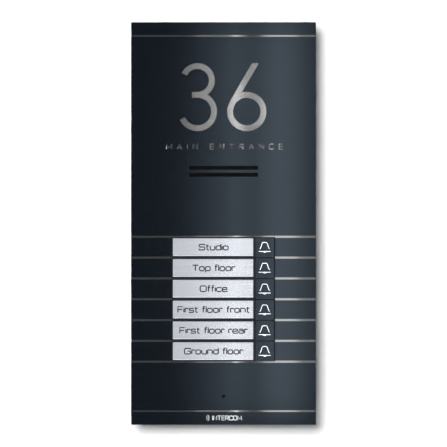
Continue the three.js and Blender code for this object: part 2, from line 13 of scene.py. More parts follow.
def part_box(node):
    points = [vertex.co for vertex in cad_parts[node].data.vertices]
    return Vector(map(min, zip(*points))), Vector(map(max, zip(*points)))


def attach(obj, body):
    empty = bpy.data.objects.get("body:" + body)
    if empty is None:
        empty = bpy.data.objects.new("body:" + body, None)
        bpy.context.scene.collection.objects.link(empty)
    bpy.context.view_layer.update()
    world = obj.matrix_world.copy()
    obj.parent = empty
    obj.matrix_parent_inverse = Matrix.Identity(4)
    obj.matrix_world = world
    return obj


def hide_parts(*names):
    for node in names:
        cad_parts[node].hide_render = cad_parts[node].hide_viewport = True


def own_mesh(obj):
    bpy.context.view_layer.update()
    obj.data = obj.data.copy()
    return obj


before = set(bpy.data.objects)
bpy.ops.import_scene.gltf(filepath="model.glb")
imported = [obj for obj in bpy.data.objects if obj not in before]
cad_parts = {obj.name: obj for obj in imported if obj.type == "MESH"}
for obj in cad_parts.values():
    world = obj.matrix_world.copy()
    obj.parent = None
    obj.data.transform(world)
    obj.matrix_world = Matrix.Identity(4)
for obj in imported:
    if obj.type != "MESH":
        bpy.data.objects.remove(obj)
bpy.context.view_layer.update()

PANEL = Matrix.Rotation(math.pi / 2, 4, "X") @ Matrix.Scale(0.001, 4)
ROWS = 6
COAT_FACE = 0.03  # the coat's face lies this far behind the lettering's


class Drawn:
    """The box of a CAD node in the drawing frame."""

    def __init__(self, node):
        low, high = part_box(node)
        self.x0, self.x1 = 1000 * low.x, 1000 * high.x
        self.y0, self.y1 = 1000 * low.z, 1000 * high.z
        self.z0, self.z1 = -1000 * high.y, -1000 * low.y
        self.x = (self.x0 + self.x1) / 2
        self.y = (self.y0 + self.y1) / 2
        self.z = (self.z0 + self.z1) / 2


# ---- Outlines ----
def evenly(start, end, steps):
    """Numbers from start to end, both included."""
    return [start + (end - start) * i / steps for i in range(steps + 1)]


def arc(x, y, r, start, end, steps=12):
    """Points of an arc, with its angles in degrees."""
    angles = [math.radians(a) for a in evenly(start, end, steps)]
    return [(x + r * math.cos(a), y + r * math.sin(a)) for a in angles]


def circle(x, y, r, steps=48):
    return arc(x, y, r, 0, 360, steps)[:-1]


def rounded(points, radius, closed=True, steps=6):
    """A path with its corners rounded to a radius, or to as much of it as fits."""
    path = [Vector(p) for p in points]
    result = []
    for i, corner in enumerate(path):
        if not closed and i in (0, len(path) - 1):
            result.append(tuple(corner))
            continue
        to_last = path[i - 1] - corner
        to_next = path[(i + 1) % len(path)] - corner
        half = to_last.angle(to_next) / 2
        if radius <= 0 or half > math.radians(89):
            result.append(tuple(corner))
            continue
        reach = min(radius / math.tan(half), 0.499 * to_last.length, 0.499 * to_next.length)
        to_centre = (to_last.normalized() + to_next.normalized()).normalized()
        centre = corner + to_centre * reach / math.cos(half)
        start = corner + to_last.normalized() * reach - centre
        end = corner + to_next.normalized() * reach - centre
        turn = start.angle_signed(end)
        for part in evenly(0, 1, steps):
            result.append(tuple(centre + Matrix.Rotation(-turn * part, 2) @ start))
    return result


def rectangle(x0, x1, y0, y1, r=0.0, steps=6):
    return rounded([(x0, y0), (x1, y0), (x1, y1), (x0, y1)], r, steps=steps)


def centred(x, y, w, h, r=0.0, steps=6):
    """A rectangle given by its middle and its size."""
    return rectangle(x - w / 2, x + w / 2, y - h / 2, y + h / 2, r, steps)


def band(path, width, steps=6):
    """The outline of a line of a given width along an open path, with round ends."""
    points = [Vector(p) for p in path]
    ways = [(b - a).normalized() for a, b in zip(points, points[1:])]
    left, right = [], []
    for i, point in enumerate(points):
        before, after = ways[max(i - 1, 0)], ways[min(i, len(ways) - 1)]
        along = (before + after).normalized()
        side = Vector((-along.y, along.x)) * width / 2 / max(along.dot(after), 0.3)
        left.append(tuple(point + side))
        right.append(tuple(point - side))
    end = math.degrees(math.atan2(ways[-1].y, ways[-1].x))
    start = math.degrees(math.atan2(-ways[0].y, -ways[0].x))
    cap_end = arc(points[-1].x, points[-1].y, width / 2, end - 90, end + 90, steps)[1:-1]
    cap_start = arc(points[0].x, points[0].y, width / 2, start - 90, start + 90, steps)[1:-1]
    return right + cap_end + left[::-1] + cap_start


# ---- Meshes ----
def cleaned(mesh, smooth_angle=35):
    """Joins doubled points, turns all faces outwards and shades round stretches smooth."""
    work = bmesh.new()
    work.from_mesh(mesh)
    bmesh.ops.remove_doubles(work, verts=work.verts, dist=1e-4)
    bmesh.ops.recalc_face_normals(work, faces=work.faces)
    work.to_mesh(mesh)
    work.free()
    mesh.shade_smooth()
    mesh.set_sharp_from_angle(angle=math.radians(smooth_angle))
    return mesh


def prism(outlines, z0, z1, bevel=0.12, rounds=1):
    """Outlines, the later ones being holes, drawn out from z0 to z1 with rounded edges."""
    curve = bpy.data.curves.new("outline", "CURVE")
    curve.dimensions = "2D"
    curve.fill_mode = "BOTH"
    curve.extrude = (z1 - z0) / 2 - bevel
    curve.bevel_depth = bevel
    curve.bevel_resolution = rounds
    curve.offset = -bevel
    for outline in outlines:
        spline = curve.splines.new("POLY")
        spline.points.add(len(outline) - 1)
        for point, (x, y) in zip(spline.points, outline):
            point.co = (x, y, 0, 1)
        spline.use_cyclic_u = True
    mesh = bpy.data.meshes.new_from_object(bpy.data.objects.new("outline", curve))
    mesh.transform(Matrix.Translation((0, 0, (z0 + z1) / 2)))
    return cleaned(mesh)


def block(x0, x1, y0, y1, z0, z1, bevel=0.12, corner=0.0):
    return prism([rectangle(x0, x1, y0, y1, corner)], z0, z1, bevel)


def block_at(x, y, w, h, z0, z1, bevel=0.12, corner=0.0):
    return prism([centred(x, y, w, h, corner)], z0, z1, bevel)


def turned(x, y, profile, steps=64):
    """A closed profile of (radius, z) points turned about an axis along z."""
    work = bmesh.new()
    rings = []
    for k in range(steps):
        a = 2 * math.pi * k / steps
        rings.append([work.verts.new((x + r * math.cos(a), y + r * math.sin(a), z)) for r, z in profile])
    for k in range(steps):
        here, there = rings[k], rings[(k + 1) % steps]
        for i in range(len(profile)):
            j = (i + 1) % len(profile)
            if max(profile[i][0], profile[j][0]) > 0:
                work.faces.new((here[i], there[i], there[j], here[j]))
    mesh = bpy.data.meshes.new("turned")
    work.to_mesh(mesh)
    work.free()
    return cleaned(mesh)


def tube(points, r, resolution=3, closed=False, smooth=True):
    """A round bar along points in x, y, z, which a smooth curve passes through."""
    curve = bpy.data.curves.new("tube", "CURVE")
    curve.dimensions = "3D"
    curve.bevel_depth = r
    curve.bevel_resolution = resolution
    curve.use_fill_caps = True
    curve.resolution_u = 6
    spline = curve.splines.new("BEZIER")
    spline.bezier_points.add(len(points) - 1)
    for point, place in zip(spline.bezier_points, points):
        point.co = place
        point.handle_left_type = point.handle_right_type = "AUTO" if smooth else "VECTOR"
    spline.use_cyclic_u = closed
    return cleaned(bpy.data.meshes.new_from_object(bpy.data.objects.new("tube", curve)))


def placed(name, data):
    """A new object in the scene that holds a mesh, a light or a camera."""
    obj = bpy.data.objects.new(name, data)
    bpy.context.scene.collection.objects.link(obj)
    return obj


def evaluated(mesh, *modifiers):
    """A mesh with modifiers applied, each given as its type and its settings."""
    holder = placed("work", mesh)
    for kind, settings in modifiers:
        modifier = holder.modifiers.new(kind.lower(), kind)
        for key, value in settings.items():
            setattr(modifier, key, value)
    graph = bpy.context.evaluated_depsgraph_get()
    result = bpy.data.meshes.new_from_object(holder.evaluated_get(graph))
    bpy.data.objects.remove(holder)
    return result


def combined(mesh, tool, operation="DIFFERENCE"):
    """A boolean of two meshes; the faces that the tool leaves keep the tool's material."""
    cutter = placed("tool", tool)
    settings = {"operation": operation, "solver": "EXACT", "material_mode": "TRANSFER", "object": cutter}
    result = evaluated(mesh, ("BOOLEAN", settings))
    bpy.data.objects.remove(cutter)
    return cleaned(result)


def joined(meshes):
    """One mesh of several, which keep their materials."""
    materials = []
    work = bmesh.new()
    for mesh in meshes:
        first = len(work.faces)
        work.from_mesh(mesh)
        work.faces.ensure_lookup_table()
        for material in mesh.materials:
            if material not in materials:
                materials.append(material)
        for face in work.faces[first:]:
            face.material_index = materials.index(mesh.materials[face.material_index])
    result = bpy.data.meshes.new("joined")
    work.to_mesh(result)
    work.free()
    for material in materials:
        result.materials.append(material)
    return result


def painted(mesh, material):
    mesh.materials.clear()
    mesh.materials.append(material)
    return mesh


def cad_copy(node, bevel=0.12):
    """A copy of a CAD node's mesh in the drawing frame, with finely rounded edges."""
    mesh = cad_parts[node].data.copy()
    mesh.transform(PANEL.inverted())
    cleaned(mesh)
    flat = ("DECIMATE", {"decimate_type": "DISSOLVE", "angle_limit": math.radians(1)})
    edge = ("BEVEL", {"width": bevel, "segments": 2, "limit_method": "ANGLE",
                      "angle_limit": math.radians(40)})
    return cleaned(evaluated(mesh, flat, edge))


def piece(name, body, slot_name, meshes, *nodes):
    """Puts drawn meshes into the scene as one piece that rides on a body and stands for CAD nodes."""
    flat_faces_first = ("WEIGHTED_NORMAL", {"mode": "FACE_AREA", "keep_sharp": True})
    mesh = evaluated(joined(meshes), flat_faces_first)
    mesh.transform(PANEL)
    mesh.name = name
    obj = placed(name, mesh)
    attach(obj, body)
    if nodes:
        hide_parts(*nodes)
    return obj


def single(node, ending, slot_name, material, mesh, body="front"):
    """A piece that is one mesh in one material, named after the CAD node that it stands for."""
    return piece(f"{node}_{ending}", body, slot_name, [painted(mesh, material)], node)


def carried_over(node, ending, slot_name, material, bevel, body="front"):
    """A piece with the CAD node's own shape, its edges rounded and in a finished material."""
    single(node, ending, slot_name, material, cad_copy(node, bevel), body)


# ---- Materials ----
def node_of(tree, kind, **inputs):
    """A shader node, whose inputs are set to values or linked to other nodes' outputs."""
    made = tree.nodes.new("ShaderNode" + kind)
    for key, value in inputs.items():
        socket = made.inputs[key.replace("_", " ")]
        if isinstance(value, bpy.types.NodeSocket):
            tree.links.new(value, socket)
        else:
            socket.default_value = value
    return made


class Finish:
    """A material under construction: a Principled shader with helpers for its procedural detail."""

    def __init__(self, name, colour, rough, metal=0.0, **sockets):
        self.material = bpy.data.materials.new(name)
        self.material.use_nodes = True
        self.tree = self.material.node_tree
        self.links = self.tree.links
        self.shader = self.tree.nodes["Principled BSDF"]
        self.colour, self.rough = colour, rough
        settings = {"Base_Color": colour, "Roughness": rough, "Metallic": metal, **sockets}
        for key, value in settings.items():
            self.shader.inputs[key.replace("_", " ")].default_value = value
        self.place = node_of(self.tree, "TexCoord").outputs["Object"]
        self.bump_normal = None

    def noise(self, size, stretch=(1, 1, 1), detail=3.0):
        """Noise from 0 to 1 with grains of a size in millimetres, stretched along the row frame's axes."""
        mapping = node_of(self.tree, "Mapping", Vector=self.place, Scale=[1 / s for s in stretch])
        return node_of(self.tree, "TexNoise", Vector=mapping.outputs[0], Scale=1000 / size,
                       Detail=detail).outputs["Fac"]

    def cells(self, size, feature="F1", output="Distance"):
        """Cells of a size in millimetres."""
        texture = node_of(self.tree, "TexVoronoi", Vector=self.place, Scale=1000 / size)
        texture.feature = feature
        return texture.outputs[output]

    def spread(self, value, low, high, start=0.3, end=0.7):
        """Maps a value that runs from start to end onto low to high."""
        return node_of(self.tree, "MapRange", Value=value, From_Min=start, From_Max=end, To_Min=low,
                       To_Max=high).outputs[0]

    def blend(self, factor, first, second):
        """A colour between two, by a factor."""
        node = self.tree.nodes.new("ShaderNodeMix")
        node.data_type = "RGBA"
        self.links.new(factor, node.inputs["Factor"])
        for socket, colour in ((node.inputs["A"], first), (node.inputs["B"], second)):
            if isinstance(colour, tuple):
                socket.default_value = colour
            else:
                self.links.new(colour, socket)
        return node.outputs["Result"]

    def tint(self, value, amount):
        """Varies the base colour by a share of itself."""
        darker = tuple(c * (1 - amount) for c in self.colour[:3]) + (1,)
        lighter = tuple(min(c * (1 + amount), 1) for c in self.colour[:3]) + (1,)
        return self.use_colour(self.blend(self.spread(value, 0, 1), darker, lighter))

    def use_colour(self, colour):
        self.links.new(colour, self.shader.inputs["Base Color"])
        return self

    def gloss(self, value, amount):
        """Varies the roughness about its middle."""
        varied = self.spread(value, max(self.rough - amount, 0.02), min(self.rough + amount, 1))
        self.links.new(varied, self.shader.inputs["Roughness"])
        return self

    def bump(self, value, height, strength=1.0):
        """Relief with a height in millimetres."""
        node = node_of(self.tree, "Bump", Strength=strength, Distance=height / 1000, Height=value)
        if self.bump_normal:
            self.links.new(self.bump_normal, node.inputs["Normal"])
        self.bump_normal = node.outputs["Normal"]
        self.links.new(self.bump_normal, self.shader.inputs["Normal"])
        return self


ANTHRACITE = (0.0038, 0.0054, 0.0082, 1)
SATIN = {"IOR": 1.8, "Specular_IOR_Level": 0.72, "Specular_Tint": (0.66, 0.84, 1, 1)}


def powder_coat(name):
    made = Finish(name, ANTHRACITE, 0.148, **SATIN)
    made.tint(made.noise(9), 0.08)
    made.gloss(made.noise(2.5), 0.01)
    made.bump(made.noise(0.9, detail=1), 0.001)
    made.bump(made.noise(0.15, detail=2), 0.0006)
    return made.material


def textured_coat(name):
    """The housing's coat: lighter than the plate's, with a deeper grain and less gloss."""
    made = Finish(name, (0.007, 0.0108, 0.0165, 1), 0.4,
                  Specular_IOR_Level=0.6, Specular_Tint=(0.7, 0.86, 1, 1))
    made.tint(made.noise(0.5, detail=4), 0.3)
    made.gloss(made.noise(1.2), 0.08)
    made.bump(made.noise(0.45, detail=3), 0.012)
    return made.material


def brushed_steel(name, colour=(0.56, 0.56, 0.555, 1), rough=0.07, metal=0.95, along=(60, 1, 1)):
    made = Finish(name, colour, rough, metal)
    streaks = made.noise(0.35, along, 3)
    made.tint(streaks, 0.12)
    made.gloss(streaks, 0.02)
    made.bump(streaks, 0.0001)
    return made.material


def moulded_plastic(name, colour, rough=0.5, grain=0.25, height=0.004, **sockets):
    made = Finish(name, colour, rough, **sockets)
    made.tint(made.noise(6), 0.08)
    made.gloss(made.noise(1.5), 0.05)
    made.bump(made.noise(grain, detail=2), height)
    return made.material


def name_silver():
    # The glow is partly the lamps' light through the plate and partly painted light, a painted sheen that
    # brightens the metal silver.
    made = Finish("silver_name_plate", (0.7, 0.73, 0.79, 1), 0.14, 0.85,
                  Emission_Color=(0.9, 0.93, 1, 1), Emission_Strength=0.38)
    streaks = made.noise(0.7, (45, 1, 1), 3)
    made.tint(streaks, 0.12)
    made.gloss(streaks, 0.02)
    made.bump(streaks, 0.0002)
    return made.material


def lit_opal():
    made = Finish("lit_opal", (0.9, 0.92, 0.95, 1), 0.35,
                  Emission_Color=(0.95, 0.97, 1, 1), Emission_Strength=0.42)
    made.tint(made.noise(1.2), 0.04)
    made.bump(made.noise(0.2), 0.001)
    return made.material


def solder_mask(name, colour, over_copper):
    made = Finish(name, colour, 0.3, Coat_Weight=0.4, Coat_Roughness=0.12)
    tracks = made.spread(made.cells(3.4, "DISTANCE_TO_EDGE"), 1, 0, 0.02, 0.06)
    made.use_colour(made.blend(tracks, colour, over_copper))
    made.bump(tracks, 0.03)
    made.bump(made.noise(0.3), 0.003)
    return made.material


def rubber(name, colour=(0.014, 0.014, 0.015, 1)):
    made = Finish(name, colour, 0.75)
    made.tint(made.noise(3), 0.25)
    made.gloss(made.noise(0.8), 0.1)
    made.bump(made.noise(0.15, detail=4), 0.008)
    return made.material


def open_foam():
    made = Finish("open_foam", (0.02, 0.02, 0.021, 1), 0.95)
    pores = made.cells(0.35)
    made.tint(made.spread(pores, 0.3, 0.7, 0.1, 0.6), 0.5)
    made.bump(pores, 0.12)
    return made.material


def pressed_pulp():
    made = Finish("pressed_pulp", (0.02, 0.018, 0.016, 1), 0.9)
    fibres = made.noise(0.5, (1, 1, 5), 6)
    made.tint(fibres, 0.5)
    made.bump(fibres, 0.04)
    return made.material


def zinc_plate(name="zinc_plate", colour=(0.62, 0.6, 0.53, 1)):
    made = Finish(name, colour, 0.3, 1.0)
    made.tint(made.noise(2.5, detail=5), 0.18)
    made.gloss(made.noise(1.1, detail=4), 0.12)
    made.bump(made.noise(0.25), 0.003)
    return made.material


def clear_acrylic():
    made = Finish("clear_acrylic", (0.9, 0.95, 0.97, 1), 0.12, Transmission_Weight=0.6, IOR=1.49)
    dots = made.spread(made.cells(1.1), 1, 0, 0.12, 0.2)
    made.use_colour(made.blend(dots, made.colour, (1, 1, 1, 1)))
    made.gloss(made.noise(4), 0.05)
    made.bump(dots, 0.02)
    return made.material


COAT = powder_coat("anthracite_powder_coat")
HOUSING_COAT = textured_coat("housing_powder_coat")
STEEL = brushed_steel("bright_cut_steel")
BRUSHED = brushed_steel("brushed_steel_face", (0.64, 0.64, 0.635, 1), 0.1, 0.87)
PLAIN_STEEL = brushed_steel("rolled_steel", (0.5, 0.5, 0.5, 1), 0.3, 0.95, (12, 1, 12))
SPRING_STEEL = brushed_steel("drawn_spring_wire", (0.55, 0.55, 0.57, 1), 0.2, 0.95, (1, 3, 1))
ZINC = zinc_plate()
TIN = zinc_plate("solder_tin", (0.72, 0.72, 0.74, 1))
GOLD = zinc_plate("gilded_contact", (0.83, 0.6, 0.25, 1))
BLACK = moulded_plastic("black_moulding", (0.006, 0.0065, 0.008, 1))
FRAME_BLACK = moulded_plastic("frame_moulding", (0.0085, 0.0098, 0.0145, 1), 0.42, 0.25, 0.002)
BUTTON = moulded_plastic("button_moulding", ANTHRACITE, 0.18, 0.5, 0.0005, **SATIN)
INK = moulded_plastic("dark_print", (0.02, 0.021, 0.024, 1), 0.55, 0.1, 0.001)
SILVER = name_silver()
OPAL = lit_opal()
PALE_PRINT = moulded_plastic("pale_print", (0.6, 0.61, 0.62, 1), 0.4, 0.1, 0.001)
GREEN_MASK = solder_mask("green_solder_mask", (0.012, 0.085, 0.035, 1), (0.03, 0.17, 0.06, 1))
BLACK_MASK = solder_mask("black_solder_mask", (0.006, 0.0065, 0.008, 1), (0.016, 0.018, 0.022, 1))
ACRYLIC = clear_acrylic()
TERMINAL = moulded_plastic("terminal_moulding", (0.03, 0.22, 0.07, 1), 0.42, 0.4)
RELAY_BLUE = moulded_plastic("relay_moulding", (0.01, 0.06, 0.2, 1), 0.35, 0.5)
IVORY = moulded_plastic("ivory_moulding", (0.7, 0.66, 0.55, 1), 0.4, 0.4)
LAMP = moulded_plastic("lamp_resin", (0.8, 0.72, 0.35, 1), 0.2, 0.5, 0.002)
RUBBER = rubber("black_rubber")
# Black cloth darkened further into painted shade, which stands for the shade deep inside the speaker slots.
BLACK_CLOTH_AND_SLOT_SHADE = rubber("sound_mesh_black_and_slot_shade", (0.002, 0.0023, 0.0028, 1))
RED_WIRE = rubber("red_wire_jacket", (0.35, 0.012, 0.01, 1))
GREY_WIRE = rubber("grey_ribbon_jacket", (0.3, 0.31, 0.32, 1))
FOAM = open_foam()
PULP = pressed_pulp()


# ---- Lettering ----
# Each letter is its width and its strokes on a grid ten high. A stroke is drawn sharp, with round corners,
# or as a closed ring.
SHARP, ROUND, RING = "sharp", "round", "ring"
X = 7.2  # height of the small letters
BOWL = (RING, (0, 0), (7, 0), (7, X), (0, X))
LETTERS = {
    " ": (3, []),
    "A": (9, [(SHARP, (0, 0), (4.5, 10), (9, 0)), (SHARP, (1.5, 3.3), (7.5, 3.3))]),
    "C": (8.5, [(ROUND, (8.5, 7.4), (8.5, 10), (0, 10), (0, 0), (8.5, 0), (8.5, 2.6))]),
    "E": (7.5, [(SHARP, (7.5, 10), (0, 10), (0, 0), (7.5, 0)), (SHARP, (0, 5), (7, 5))]),
    "F": (7, [(SHARP, (7, 10), (0, 10), (0, 0)), (SHARP, (0, 5), (6.4, 5))]),
    "G": (9, [(ROUND, (9, 7.6), (9, 10), (0, 10), (0, 0), (9, 0), (9, 5)), (SHARP, (9, 5), (5, 5))]),
    "I": (0, [(SHARP, (0, 0), (0, 10))]),
    "M": (10, [(SHARP, (0, 0), (0, 10), (5, 2.5), (10, 10), (10, 0))]),
    "N": (8.5, [(SHARP, (0, 0), (0, 10), (8.5, 0), (8.5, 10))]),
    "O": (9, [(RING, (0, 0), (9, 0), (9, 10), (0, 10))]),
    "R": (8, [(SHARP, (0, 0), (0, 10)), (ROUND, (0, 10), (8, 10), (8, 4.6), (0, 4.6)),
              (SHARP, (4.6, 4.6), (8.2, 0))]),
    "S": (8.5, [(ROUND, (8.3, 7.8), (8.3, 10), (0, 10), (0, 5.2), (8.5, 5.2), (8.5, 0), (0, 0), (0, 2.3))]),
    "T": (8.5, [(SHARP, (0, 10), (8.5, 10)), (SHARP, (4.25, 10), (4.25, 0))]),
    "a": (6.8, [(ROUND, (0.3, X), (6.8, X), (6.8, 0)), (ROUND, (6.8, 4.2), (0, 4.2), (0, 0), (6.8, 0))]),
    "c": (6.6, [(ROUND, (6.6, 5.4), (6.6, X), (0, X), (0, 0), (6.6, 0), (6.6, 1.8))]),
    "d": (7, [BOWL, (SHARP, (7, 0), (7, 10.4))]),
    "e": (7, [(ROUND, (7, 1.6), (7, 0), (0, 0), (0, X), (7, X), (7, 3.7)), (SHARP, (7, 3.7), (0, 3.7))]),
    "f": (3.8, [(ROUND, (4, 10.4), (1.4, 10.4), (1.4, 0)), (SHARP, (0, X), (3.8, X))]),
    "i": (0, [(SHARP, (0, 0), (0, X)), (SHARP, (0, 9.8), (0, 10.3))]),
    "l": (0, [(SHARP, (0, 0), (0, 10.4))]),
    "n": (6.8, [(SHARP, (0, 0), (0, X)), (ROUND, (0, X), (6.8, X), (6.8, 0))]),
    "o": (7, [BOWL]),
    "p": (7, [BOWL, (SHARP, (0, 0), (0, -2.9))]),
    "r": (4, [(SHARP, (0, 0), (0, X)), (ROUND, (0, X), (4, X), (4, 5.8))]),
    "s": (6.6, [(ROUND, (6.4, 5.8), (6.4, X), (0, X), (0, 3.7), (6.6, 3.7), (6.6, 0), (0, 0), (0, 1.5))]),
    "t": (4.2, [(ROUND, (1.4, 9.6), (1.4, 0), (4.2, 0)), (SHARP, (0, X), (4, X))]),
    "u": (6.8, [(ROUND, (0, X), (0, 0), (6.8, 0)), (SHARP, (6.8, X), (6.8, 0))]),
}


def text_width(text, height, gap, wide):
    return (sum(LETTERS[c][0] * wide + gap for c in text) - gap) * height / 10


def lettering(text, x, y, height, stroke, z, gap=2.4, wide=1.0, relief=0.05):
    """A line of text centred on x, standing on y, as strokes with flat tops at z."""
    unit = height / 10
    pen = x - text_width(text, height, gap, wide) / 2
    curve = bpy.data.curves.new("text", "CURVE")
    curve.dimensions = "3D"
    curve.bevel_depth = stroke / math.sqrt(2)
    curve.bevel_resolution = 2
    curve.use_fill_caps = True
    for letter in text:
        for kind, *points in LETTERS[letter][1]:
            path = [(pen + px * wide * unit, y + py * unit) for px, py in points]
            if kind != SHARP:
                path = rounded(path, 2.6 * unit, kind == RING, 4)
            spline = curve.splines.new("POLY")
            spline.points.add(len(path) - 1)
            for point, (px, py) in zip(spline.points, path):
                point.co = (px, py, 0, 1)
            spline.use_cyclic_u = kind == RING
        pen += (LETTERS[letter][0] * wide + gap) * unit
    mesh = bpy.data.meshes.new_from_object(bpy.data.objects.new("text", curve))
    for vertex in mesh.vertices:
        vertex.co.z = z + relief * (min(vertex.co.z, 0.49 * stroke) / (0.49 * stroke) - 1)
    return cleaned(mesh)


# ---- Front plate ----
PLATE = Drawn("front_plate")
PLATE_BACK = 25.0
PLATE_FACE = PLATE.z1 - COAT_FACE
ENGRAVED = PLATE.z1 - 0.3
WINDOW = {"x": 37.7, "top": -9.85, "bottom": -100.75}
ROW_PITCH = 15.2
FIRST_LINE = -9.7
SPEAKER = Drawn("speaker_basket")
MICROPHONE = Drawn("microphone_boot")
SLOT = {"w": 50.3, "h": 2.85, "pitch": 5.1}
EDGE_LINE = 10
NUMERAL = {"foot": 67.5, "top": 117.1, "stroke": 4.2, "bowl": 14.3}
NUMERAL_X = (-19, 17)
STUDS = [(sx * 40.8, y) for sx in (-1, 1) for y in (-6.2, -104.4)]
BOARD_STUDS = [(-37, 125), (37, 79)]
BOARD_POSTS = [(37, 125), (-37, 79)]


def round_stroke(x, y, r, start, end):
    """A round stroke of a numeral between two angles, where r is the radius of its outer edge."""
    return arc(x, y, r, start, end, 40) + arc(x, y, r - NUMERAL["stroke"], end, start, 40)


def numeral_three():
    """A small bowl on a large one, joined by a short level stroke."""
    foot, top, stroke, bowl = NUMERAL.values()
    x = NUMERAL_X[0]
    waist = foot + 2 * bowl - stroke
    upper = (top - waist) / 2
    return [
        round_stroke(x, foot + bowl, bowl, -155, 90),
        round_stroke(x, waist + upper, upper, -90, 155),
        rectangle(x - 4, x + 0.5, waist, waist + stroke),
    ]


def numeral_six():
    """A ring, and a straight stroke that leaves its left side at a tangent."""
    foot, top, stroke, bowl = NUMERAL.values()
    x, y, slope = NUMERAL_X[1], foot + bowl, math.radians(60)
    outer, inner = [(x - r * math.sin(slope), y + r * math.cos(slope)) for r in (bowl, bowl - stroke)]
    outer_top, inner_top = [(px + (top - py) / math.tan(slope), top) for px, py in (outer, inner)]
    return [round_stroke(x, y, bowl, 90, 450 - 1e-3), [inner, inner_top, outer_top, outer]]


def groove(y, width):
    past = PLATE.x1 + 1
    return prism([rectangle(-past, past, y - width / 2, y + width / 2)], ENGRAVED, PLATE.z1 + 1, 0)


def threaded(x, y, z0, z1, r=1.5, pitch=0.5):
    """A stud with a metric thread, shown as rings, and a chamfered tip."""
    profile = [(0, z0), (r - 0.5, z0)]
    turns = int((z1 - z0 - 0.5) / pitch)
    for i in range(turns):
        z = z0 + 0.4 + i * pitch
        profile += [(r - 0.28, z), (r - 0.02, z + pitch * 0.45), (r - 0.02, z + pitch * 0.55)]
    profile += [(r - 0.28, z1), (0, z1)]
    return turned(x, y, profile, 24)


def front_plate():
    window = rectangle(-WINDOW["x"], WINDOW["x"], WINDOW["bottom"], WINDOW["top"], 0.25, 3)
    middles = [SPEAKER.y + side * SLOT["pitch"] / 2 for side in (-1, 1)]
    speaker_slots = [centred(0, y, SLOT["w"], SLOT["h"], 0.6, 4) for y in middles]
    hole = circle(MICROPHONE.x, MICROPHONE.y, 1.2, 32)
    outline = rectangle(PLATE.x0, PLATE.x1, PLATE.y0, PLATE.y1, 0.6, 4)
    plate = painted(prism([outline, window, *speaker_slots, hole], PLATE_BACK, PLATE_FACE, 0.08, 2), COAT)
    lines = [groove(y, 1.1) for y in (PLATE.y1 - EDGE_LINE, PLATE.y0 + EDGE_LINE)]
    lines += [groove(FIRST_LINE - ROW_PITCH * i, 1.5) for i in range(ROWS + 1)]
    plate = combined(plate, painted(joined([painted(line, STEEL) for line in lines]), STEEL))
    for outline in numeral_three() + numeral_six():
        plate = combined(plate, painted(prism([outline], ENGRAVED, PLATE.z1 + 1, 0), BRUSHED))
    collar = [(0, 16.7), (2.8, 16.7), (3, 16.9), (3, PLATE_BACK), (0, PLATE_BACK)]
    collars = [painted(turned(x, y, collar, 32), COAT) for x, y in BOARD_STUDS + BOARD_POSTS]
    studs = [painted(threaded(x, y, 9, PLATE_BACK), PLAIN_STEEL) for x, y in STUDS]
    studs += [painted(threaded(x, y, 11.5, 17), PLAIN_STEEL) for x, y in BOARD_STUDS]
    meshes = [plate, *collars, *studs]
    piece("front_plate_shell", "front", "powder_coated_steel", meshes, "front_plate")


front_plate()


def engraved_words():
    """Generic words: the kind of door in spaced thin capitals, and a hint above the lower edge."""
    words = lettering("MAIN ENTRANCE", 0.9, 54.4, height=3.7, stroke=0.46, z=PLATE.z1, gap=11.1)
    piece("entrance_lettering", "front", "steel", [painted(words, BRUSHED)])
    word = lettering("INTERCOM", 2.6, -143.5, height=3, stroke=0.55, z=PLATE.z1, gap=2.3, wide=0.9)
    label = painted(word, PALE_PRINT)
    arcs = [band(arc(-13.2, -142, r, -50, 50, 8), 0.5) for r in (1.2, 2.6)]
    waves = [painted(prism([wave], PLATE.z1 - 0.1, PLATE.z1, 0.02), PALE_PRINT) for wave in arcs]
    piece("intercom_lettering", "front", "steel", [label, *waves])


engraved_words()


# ---- Name plates and their frame ----
NAMES = ["Studio", "Top floor", "Office", "First floor front", "First floor rear", "Ground floor"]

carried_over("name_frame", "moulding", "black_plastic", FRAME_BLACK, 0.1)


def name_plate(row):
    node = f"name_plate_{row + 1}"
    body = Drawn(node)
    play, height, lip_front = 0.1, 12.4, 23.5
    face = rectangle(body.x0 + play, body.x1 - play, body.y - height / 2, body.y + height / 2, 0.3)
    front = painted(prism([face], body.z0, body.z1, 0.2), SILVER)
    lip = painted(block(body.x0, body.x1, body.y0, body.y1, body.z0, lip_front, 0.1), SILVER)
    text = lettering(NAMES[row], body.x + 0.4, body.y - 2, height=4.1, stroke=0.66, z=body.z1 + 0.03,
                     gap=2.3, wide=1.2)
    piece(f"{node}_insert", "front", "name_insert", [front, lip], node)
    piece(f"{node}_lettering", "front", "black_plastic", [painted(text, INK)])


for row in range(ROWS):
    name_plate(row)


# ---- Bell buttons ----
SYMBOL_STROKE = 0.42
CAP_WALL = 1.6
CAP = {"w": 13.75, "taller": 0.3}  # its width, and how much taller than in the CAD it is drawn
CAVITY = {"w": 11.2, "h": 11.4}


def bell_outlines(x, y, grow=0.0):
    """The bell symbol: an open dome, and under it a line with a small clapper."""
    half = [(3.4, -1.25), (2.75, 0.1), (1.65, 3.45)]
    dome = rounded([(-px, py) for px, py in half] + half[::-1], 1.1, False, 8)
    width = SYMBOL_STROKE + 2 * grow
    reach, top, bottom = 4.4 + grow, -2.87 + grow, -3.27 - grow
    clapper = arc(0, -2.65, 1.3 + grow, 212, 328, 10)
    base = [(reach, bottom), (reach, top), (-reach, top), (-reach, bottom), *clapper]
    outlines = (band(dome, width), rounded(base, 0.15, steps=3))
    return [[(x + px, y + py) for px, py in outline] for outline in outlines]


